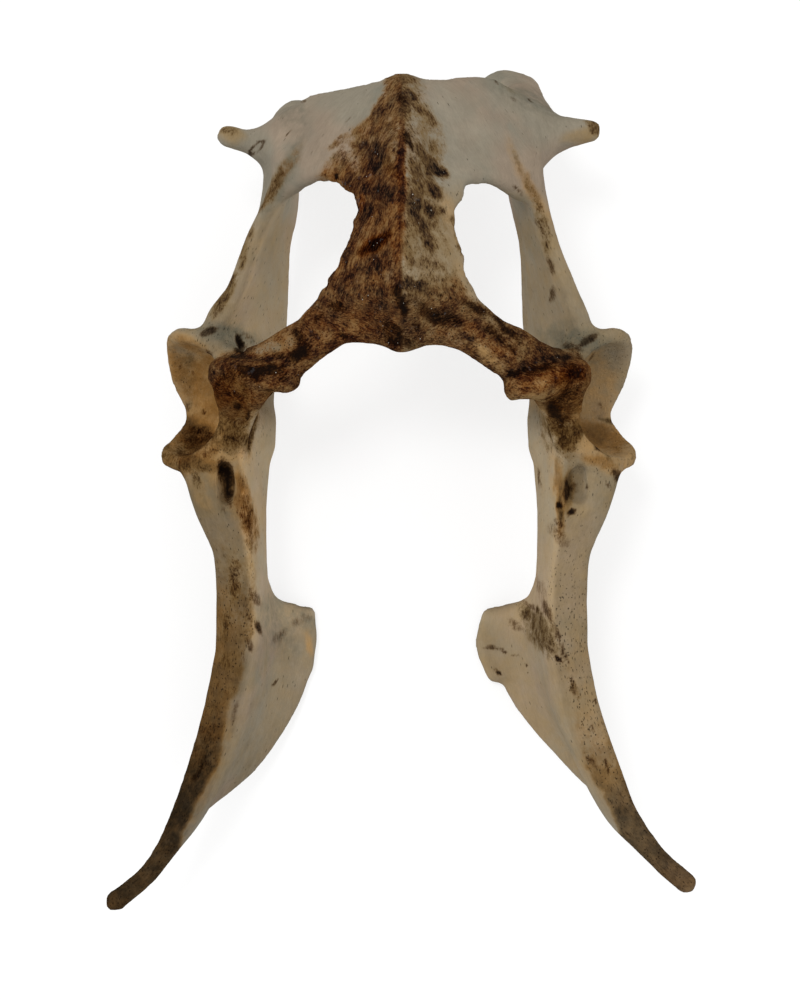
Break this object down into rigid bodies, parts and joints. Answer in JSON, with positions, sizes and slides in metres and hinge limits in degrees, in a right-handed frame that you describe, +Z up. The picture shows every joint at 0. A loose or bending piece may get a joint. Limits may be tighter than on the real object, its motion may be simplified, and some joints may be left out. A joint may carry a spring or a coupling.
{
  "type": "deer pelvis",
  "caption": "Dry, stained deer pelvis of two fused hip bones without the sacrum, lying on its back, with hip sockets, obturator openings and flared wings.",
  "frame": {"origin": "middle of the footprint, on the floor", "axes": "+Y towards the tail end, +X towards the side on the right of the picture, +Z up, which is the belly side of the bone"},
  "size_m": [0.1636, 0.2368, 0.0817],
  "materials": {
    "pale_bone": "dry, matt, grey-beige bone",
    "tan_bone": "dry, matt, tan bone with brown streaks",
    "stained_bone": "rough bone, stained dark reddish brown"
  },
  "bodies": {
    "root": {"left_ilium": "tan_bone", "right_ilium": "tan_bone", "left_ischium": "pale_bone", "right_ischium": "pale_bone", "left_pubis": "stained_bone", "right_pubis": "stained_bone"}
  },
  "joints": []
}
